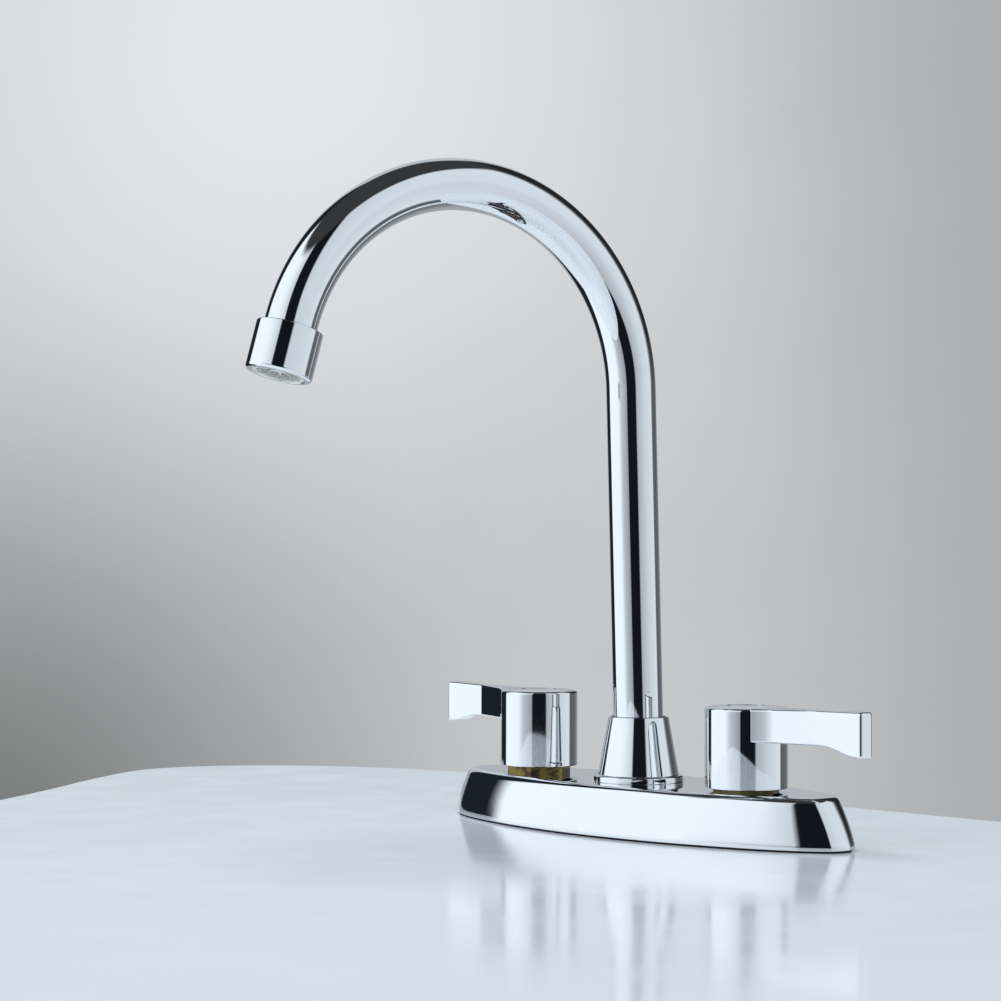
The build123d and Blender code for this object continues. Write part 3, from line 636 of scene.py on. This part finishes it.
def add_lever(skin, turn):
    """Add the lever along +X, turned by some degrees about the hub's axis."""
    xs = [start + spacing * k for start, spacing, count in LEVER_RUNS for k in range(count)]
    rings = [lever_ring(x, half_width(x), lever_low(x), lever_top(x)) for x in xs]
    end = [size(LEVER_REACH - TIP_CORNER) for size in (half_width, lever_low, lever_top)]
    for step in range(LEVER_TIP_STEPS + 1):
        swing = RIGHT_ANGLE * step / LEVER_TIP_STEPS
        fall = 1 - math.cos(swing)
        x = LEVER_REACH - TIP_CORNER * (1 - math.sin(swing))
        rings.append(lever_ring(x, *end, TIP_CORNER * fall, TIP_RIM * fall, swing))
    swivel = Matrix.Rotation(math.radians(turn), 3, "Z")
    rings = [[(swivel @ Vector(p), swivel @ n) for p, n in ring] for ring in rings]
    skin.grid(rings, caps=(False, True))


def hub_rows():
    """The hub's profile: its cavity, foot, side, domed top and the hole for the button."""
    rows = rounded(
        [
            (HUB_BOSS, HUB_CAVITY), (HUB_INSIDE, HUB_CAVITY), (HUB_INSIDE, 0), (HUB_RADIUS, 0),
            (HUB_RADIUS, HUB_JOIN),
        ],
        [0, HUB_CAVITY_FILLET, HUB_MOUTH_EDGE, HUB_FOOT_EDGE, 0],
    )
    top = [(HUB_RADIUS, HUB_JOIN), (HUB_RADIUS, HUB_HEIGHT), (0, HUB_HEIGHT)]
    rows += rounded(top, [0, HUB_EDGE, 0], 10)[1:-1]
    hole = CAP_RADIUS + CAP_GAP
    brim = HUB_RADIUS - HUB_EDGE
    dome = (brim**2 + HUB_DOME**2) / (2 * HUB_DOME)
    for step in range(1, HUB_TOP_STEPS + 1):
        r = brim + (hole + 0.3 - brim) * step / HUB_TOP_STEPS
        fall = math.asin(r / dome)
        level = HUB_HEIGHT + HUB_DOME - dome * (1 - math.cos(fall))
        rows.append((r, level, math.sin(fall), math.cos(fall)))
    bore = [(hole + 0.3, level), (hole, level), (hole, CAP_FLOOR), (2, CAP_FLOOR)]
    return rows + rounded(bore, [0, HOLE_EDGE, 0, 0], 5)[1:]


def make_handle(side, direction, foot, turn, material):
    skin = Skin()
    skin.grid(turned(hub_rows(), HUB_SEGMENTS), caps=(False, True))
    add_lever(skin, turn)
    facing = Matrix.Rotation(0 if direction > 0 else math.pi, 4, "Z")
    place = Matrix.Translation((direction * VALVE_X, 0, foot)) @ facing
    piece = skin.build(f"{side}_handle_casting", place)
    dress(piece, f"{side}_handle_body", material, f"{side}_handle")


def make_cap(side, direction, foot, material):
    top = HUB_HEIGHT + CAP_PROUD
    rows = rounded(
        [
            (CAP_RADIUS, CAP_FLOOR + CAP_CLEARANCE), (CAP_RADIUS, top - CAP_FALL),
            (CAP_RADIUS - CAP_BEVEL, top), (PIN_HOLE, top),
        ],
        [0, CAP_EDGE, CAP_BLEND, 0],
        8,
    )
    place = Matrix.Translation((direction * VALVE_X, 0, foot))
    piece = lathe(f"{side}_index_button", rows, place, CAP_SEGMENTS, (True, True))
    dress(piece, f"{side}_handle_body", material, f"{side}_index_cap")


# ---------------------------------------------------------------- spout
swivelled = Matrix.Rotation(math.radians(-SPOUT_SWIVEL), 4, "Z")


def spout_line():
    """The tube's centre line with the spout straight ahead, as rows of distance forwards,
    height and angle from upright, and the row where the bow ends."""
    lean, total = math.radians(SPOUT_LEAN), math.radians(SPOUT_LEAN + BOW_ANGLE)
    line = [(0, TUBE_FOOT, 0.0)]
    for k in range(LEAN_STEPS + 1):
        a = lean * k / LEAN_STEPS
        line.append((LEAN_RADIUS * (1 - math.cos(a)), LEAN_START + LEAN_RADIUS * math.sin(a), a))
    out, up, _ = line[-1]
    run = (SPRING_HEIGHT - up) / math.cos(lean)
    for k in range(1, SHANK_STEPS + 1):
        way = run * k / SHANK_STEPS
        line.append((out + way * math.sin(lean), up + way * math.cos(lean), lean))
    spring = line[-1]
    centre = (spring[0] + BOW_RADIUS * math.cos(lean), spring[1] - BOW_RADIUS * math.sin(lean))
    for k in range(1, BOW_STEPS + 1):
        a = lean + (total - lean) * k / BOW_STEPS
        line.append((centre[0] - BOW_RADIUS * math.cos(a), centre[1] + BOW_RADIUS * math.sin(a), a))
    end = line[-1]
    tail = (end[0] + TAIL_LENGTH * math.sin(total), end[1] + TAIL_LENGTH * math.cos(total), total)
    return line + [tail], end


def tube_ring(centre, across, radius, way=1):
    """A ring about the tube's line. way is -1 where the normals look inwards."""
    pairs = []
    for k in range(TUBE_SEGMENTS):
        c, s = math.cos(TAU * k / TUBE_SEGMENTS), math.sin(TAU * k / TUBE_SEGMENTS)
        n = Vector((c, 0, 0)) + across * s
        pairs.append((centre + n * radius, n * way))
    return pairs


def make_tube():
    line, _ = spout_line()
    sections = []
    for out, up, angle in line:
        sections.append((Vector((0, -out, up)), Vector((0, -math.cos(angle), -math.sin(angle)))))
    skin = Skin()
    skin.grid([tube_ring(centre, across, TUBE_RADIUS) for centre, across in sections])
    skin.grid([tube_ring(centre, across, TUBE_BORE, -1) for centre, across in sections])
    for (centre, across), neighbour in ((sections[0], sections[1]), (sections[-1], sections[-2])):
        away = (centre - neighbour[0]).normalized()
        rim = []
        for radius in (TUBE_RADIUS, TUBE_BORE):
            rim.append([(p, away) for p, _ in tube_ring(centre, across, radius)])
        skin.grid(rim)
    return skin.build("spout_pipe", swivelled)


def outlet_place():
    """Matrix of the outlet's own frame: +Z is the way the water leaves."""
    _, (out, up, total) = spout_line()
    z = Vector((0, -math.sin(total), math.cos(total)))
    x = Vector((1, 0, 0))
    place = Matrix((x, z.cross(x), z)).transposed().to_4x4()
    place.translation = Vector((0, -out, up))
    return swivelled @ place


def make_housing():
    foot = HOUSING_START + HOUSING_LENGTH
    rows = rounded(
        [
            (HOUSING_BORE, foot - HOUSING_LIP), (HOUSING_BORE, HOUSING_START),
            (HOUSING_RADIUS, HOUSING_START), (HOUSING_RADIUS, foot),
            (HOUSING_MOUTH, foot), (HOUSING_MOUTH, foot - HOUSING_LIP),
            (HOUSING_BORE, foot - HOUSING_LIP),
        ],
        [0, 0.2, 0.35, 1.2, 0.3, 0.1, 0],
        8,
    )
    return lathe("aerator_sleeve", rows, outlet_place(), HOUSING_SEGMENTS)


def make_collar():
    rows = rounded(
        [
            (COLLAR_BORE, COLLAR_TOP), (COLLAR_INSIDE, COLLAR_FLANGE_TOP),
            (COLLAR_MOUTH, PLATE_HEIGHT), (COLLAR_FLANGE, PLATE_HEIGHT),
            (COLLAR_FLANGE, COLLAR_FLANGE_TOP), (COLLAR_CONE_FOOT, COLLAR_FLANGE_TOP),
            (COLLAR_CONE_TOP, COLLAR_TOP), (COLLAR_BORE, COLLAR_TOP),
            (COLLAR_BORE, COLLAR_TOP - 0.4),
        ],
        [0, 0, 0.1, 0.25, 0.8, 0.25, 0.3, 0.25, 0],
        8,
    )
    return lathe("spout_escutcheon", rows, None, COLLAR_SEGMENTS)


# ---------------------------------------------------------------- visible pieces
dress(make_deck_cover(), "base", chrome_plate, "deck_cover")
dress(make_collar(), "base", chrome_fittings, "spout_collar")
dress(make_tube(), "spout_body", chrome_tube, "spout_tube")
dress(make_housing(), "spout_body", chrome_fittings, "aerator_housing")
for side, direction, foot, turn, casting, button in (
    ("hot", -1, 20.7, -8.1, hot_chrome, hot_index),
    ("cold", 1, 19.15, -4.7, cold_chrome, cold_index),
):
    make_handle(side, direction, foot, turn, casting)
    make_cap(side, direction, foot, button)


# ---------------------------------------------------------------- CAD nodes that stay
SLOT_OF = {
    "base_gasket": "foam_rubber", "spout_socket": "brass", "swivel_washer": "acetal",
    "spout_nut": "brass", "spout_ferrule": "brass", "spout_rings": "rubber",
    "outlet_adapter": "brass", "aerator_gasket": "rubber", "aerator_screen": "steel",
    "aerator_insert": "insert_plastic",
}
VALVE_SLOTS = {
    "valve_body": "brass", "cross_tube": "copper_tube", "lock_nut": "brass", "bonnet": "brass",
    "bonnet_ring": "rubber", "seat_seal": "rubber", "fixed_disc": "ceramic",
    "moving_disc": "ceramic", "stem": "brass", "stem_ring": "rubber", "handle_screw": "steel",
    "mounting_washer": "steel", "mounting_nut": "nut_plastic",
}
for side in ("hot", "cold"):
    SLOT_OF.update({f"{side}_{part}": slot for part, slot in VALVE_SLOTS.items()})
for name, slot in SLOT_OF.items():
    node = nodes[name]
    node.data.materials.clear()
    node.data.materials.append(PAINTED_SHADE_LOOKS.get(name, SLOT_LOOKS[slot]))


# ---------------------------------------------------------------- floor
# Corners of the basin's ledge, in millimetres. A side longer than LEDGE_STRAIGHT stays
# straight, and the others are curved.
LEDGE_OUTLINE = (
    (250, 112), (-60, 112), (-185, 112), (-255, 96), (-300, 64), (-316, 26), (-300, -12),
    (-262, -70), (-233, -119), (-188, -200), (-128, -310), (-40, -400), (60, -440), (160, -410),
    (255, -335), (320, -240), (345, -150), (345, -60), (335, 30), (305, 86),
)
LEDGE_EDGE, LEDGE_HEIGHT, LEDGE_STRAIGHT = 9.0, 70, 200
LEDGE_STEPS = 8


def ledge_curve():
    """The ledge's outline as a closed curve through its corners."""
    corners = [Vector((x, y, 0)) for x, y in LEDGE_OUTLINE]
    count = len(corners)
    outline = []
    for k in range(count):
        p0, p1, p2, p3 = (corners[(k + j) % count] for j in (-1, 0, 1, 2))
        side = (p2 - p1).length
        if side > LEDGE_STRAIGHT:
            outline.append(p1)
            continue
        a = (p2 - p0) * 0.5 * min(1, side * 2 / (p2 - p0).length)
        b = (p3 - p1) * 0.5 * min(1, side * 2 / (p3 - p1).length)
        for step in range(LEDGE_STEPS):
            t = step / LEDGE_STEPS
            outline.append(
                p1 * (2 * t**3 - 3 * t**2 + 1) + a * (t**3 - 2 * t**2 + t)
                + p2 * (3 * t**2 - 2 * t**3) + b * (t**3 - t**2)
            )
    return outline


def make_floor():
    """Glazed ledge that the faucet stands on, with a rounded rim."""
    outline = ledge_curve()
    normals = []
    for k in range(len(outline)):
        along = (outline[(k + 1) % len(outline)] - outline[k - 1]).normalized()
        normals.append(Vector((-along.y, along.x, 0)))
    rings = [[(p - UP * LEDGE_HEIGHT, n) for p, n in zip(outline, normals)]]
    for step in range(LEDGE_STEPS + 1):
        swing = RIGHT_ANGLE * step / LEDGE_STEPS
        inwards, down = LEDGE_EDGE * (1 - math.cos(swing)), LEDGE_EDGE * (1 - math.sin(swing))
        rings.append([
            (p - n * inwards - UP * down, n * math.cos(swing) + UP * math.sin(swing))
            for p, n in zip(outline, normals)
        ])
    skin = Skin()
    skin.grid(rings)
    skin.sheet([[point for point, _ in rings[-1]]], (0, 0, 1))
    floor = skin.build("ledge")
    floor.data.materials.append(ceramic_floor("glazed_ceramic"))


make_floor()


# ---------------------------------------------------------------- camera
IMAGE_SIZE = 1001
SENSOR = 36
FOCAL_PIXELS = 2498.4
CAMERA_PLACE = Vector((0.61462, -0.66726, 0.10141))
CAMERA_YAW = math.radians(45.82)
CAMERA_PITCH = math.radians(1.13)
CAMERA_ROLL = math.radians(0.15)


def make_camera():
    forward = Vector((
        -math.sin(CAMERA_YAW) * math.cos(CAMERA_PITCH),
        math.cos(CAMERA_YAW) * math.cos(CAMERA_PITCH),
        math.sin(CAMERA_PITCH),
    ))
    right = Vector((math.cos(CAMERA_YAW), math.sin(CAMERA_YAW), 0))
    up = right.cross(forward)
    side = right * math.cos(CAMERA_ROLL) + up * math.sin(CAMERA_ROLL)
    top = up * math.cos(CAMERA_ROLL) - right * math.sin(CAMERA_ROLL)
    data = bpy.data.cameras.new("camera")
    data.sensor_width = SENSOR
    data.lens = SENSOR * FOCAL_PIXELS / IMAGE_SIZE
    data.clip_start = 0.01
    camera = bpy.data.objects.new("camera", data)
    camera.matrix_world = Matrix((side, top, -forward)).transposed().to_4x4()
    camera.location = CAMERA_PLACE
    bpy.context.scene.collection.objects.link(camera)
    bpy.context.scene.camera = camera


make_camera()


# ---------------------------------------------------------------- light
# What the chrome mirrors, by azimuth in degrees from the camera's side, image left negative:
# a white panel on the left, a black gap around the camera, a paler grey panel on the right and
# a dim room behind. Low holds at the horizon and below, and high above it.
ROOM, WALL, CEILING = 0.42, 0.60, 0.045
DARK, BLACK = (0.011, 0.016, 0.022), (0.006, 0.009, 0.013)
LOW_STUDIO = (
    (-180, ROOM), (-158, ROOM), (-154, DARK), (-121, DARK), (-117, 1.12), (-66, 1.08),
    (-50, 0.62), (-24, 0.38), (-21, BLACK), (18, BLACK), (22, 0.50), (60, 0.74), (100, 0.86),
    (106, 0.12), (135, 0.16), (168, ROOM),
)
HIGH_STUDIO = (
    (-180, WALL), (-158, WALL), (-154, DARK), (-123, DARK), (-118, 1.12), (-66, 1.10),
    (-50, 1.02), (-24, 0.74), (-20, BLACK), (19, BLACK), (23, 0.72), (60, 0.82), (100, 0.84),
    (112, 0.15), (120, 0.02), (160, 0.02), (168, WALL),
)
STUDIO_TINT = (0.885, 0.955, 1.02)
HIGH_STARTS, HIGH_HOLDS = -2, 14  # elevations in degrees between which low turns into high
CEILING_STARTS, CEILING_HOLDS = 50, 56

# The plaster wall that the camera sees. Places on it are sideways and upwards shares of the
# distance, and a patch fades out over its reach.
PLASTER, PLASTER_LIGHT = (0.50, 0.53, 0.545), (0.60, 0.625, 0.635)
GLOW_PLACE, GLOW_REACH, GLOW = (-0.09, 0.20), 0.26, (0.76, 0.80, 0.85)
SHADE_PLACE, SHADE_REACH, SHADE = (-0.22, -0.14), 0.27, (0.17, 0.18, 0.175)
SIDE_STARTS, SIDE_HOLDS, SIDE_STRENGTH, SIDE_SHADE = 0.06, 0.22, 0.8, (0.37, 0.385, 0.385)


def tinted(level):
    return level if isinstance(level, tuple) else tuple(level * c for c in STUDIO_TINT)


def studio_ramp(sky, around, studio):
    """The colour of a ring of panels at a share of a full turn."""
    node = sky.add("ShaderNodeValToRGB")
    elements = node.color_ramp.elements
    while len(elements) > 1:
        elements.remove(elements[-1])
    for k, (degrees, level) in enumerate(studio):
        position = (degrees + 180) / 360
        element = elements.new(position) if k else elements[0]
        element.position = position
        element.color = (*tinted(level), 1)
    sky.put(around, node.inputs[0])
    return node.outputs["Color"]


def mirrored_studio(sky, axes):
    """What every ray but the camera's own sees."""
    azimuth = sky.math("DIVIDE", sky.math("ARCTAN2", axes["Y"], axes["X"]), TAU)
    around = sky.math("ADD", azimuth, 0.5)
    elevation = sky.math("MULTIPLY", sky.math("ARCSINE", axes["Z"]), 180 / math.pi)
    panels = sky.mix(
        sky.smooth(elevation, HIGH_STARTS, HIGH_HOLDS),
        studio_ramp(sky, around, LOW_STUDIO),
        studio_ramp(sky, around, HIGH_STUDIO),
    )
    return sky.mix(sky.smooth(elevation, CEILING_STARTS, CEILING_HOLDS), panels, tinted(CEILING))


def plaster_wall(sky, direction, axes):
    """What the camera sees behind the object."""
    depth = sky.math("MULTIPLY", axes["X"], -1.0)
    across = sky.math("DIVIDE", axes["Y"], depth)
    upward = sky.math("DIVIDE", axes["Z"], depth)

    def near(place, reach):
        """1 at a place on the wall, falling to 0 at a distance from it."""
        sideways = sky.math("SUBTRACT", across, place[0])
        away = sky.distance(sideways, sky.math("SUBTRACT", upward, place[1]))
        return sky.math("SUBTRACT", 1.0, sky.smooth(away, 0.0, reach))

    grain = sky.add("ShaderNodeTexNoise")
    grain.inputs["Scale"].default_value = 9.0
    grain.inputs["Detail"].default_value = 7.0
    grain.inputs["Roughness"].default_value = 0.6
    sky.put(direction, grain.inputs["Vector"])
    wall = sky.mix(grain.outputs["Fac"], PLASTER, PLASTER_LIGHT)
    wall = sky.mix(near(GLOW_PLACE, GLOW_REACH), wall, GLOW)
    wall = sky.mix(near(SHADE_PLACE, SHADE_REACH), wall, SHADE)
    side = sky.math("MULTIPLY", sky.smooth(across, SIDE_STARTS, SIDE_HOLDS), SIDE_STRENGTH)
    return sky.mix(side, wall, SIDE_SHADE)


def make_world():
    world = bpy.data.worlds.new("studio")
    bpy.context.scene.world = world
    world.use_nodes = True
    world.node_tree.nodes.clear()
    sky = Graph(world.node_tree)
    direction = sky.add("ShaderNodeTexCoord").outputs["Generated"]
    turn = sky.add("ShaderNodeVectorRotate", rotation_type="Z_AXIS")
    turn.inputs["Angle"].default_value = RIGHT_ANGLE - CAMERA_YAW
    sky.put(direction, turn.inputs["Vector"])
    separate = sky.add("ShaderNodeSeparateXYZ")
    sky.put(turn.outputs["Vector"], separate.inputs["Vector"])
    axes = separate.outputs
    seen = sky.mix(
        sky.add("ShaderNodeLightPath").outputs["Is Camera Ray"],
        mirrored_studio(sky, axes),
        plaster_wall(sky, direction, axes),
    )
    background = sky.add("ShaderNodeBackground")
    sky.put(seen, background.inputs["Color"])
    sky.put(background.outputs[0], sky.add("ShaderNodeOutputWorld").inputs["Surface"])


def make_overhead_light():
    """A soft lamp above, left out of reflections."""
    place, target = Vector((-0.25, -0.2, 1.5)), Vector((0, -0.05, 0))
    data = bpy.data.lights.new("overhead", "AREA")
    data.shape = "DISK"
    data.size = 0.9
    data.energy = 24
    data.color = (0.97, 0.99, 1.0)
    lamp = bpy.data.objects.new("overhead", data)
    lamp.location = place
    lamp.rotation_euler = (target - place).to_track_quat("-Z", "Y").to_euler()
    lamp.visible_glossy = False
    bpy.context.scene.collection.objects.link(lamp)


make_world()
make_overhead_light()

bpy.context.scene.view_settings.view_transform = "Standard"
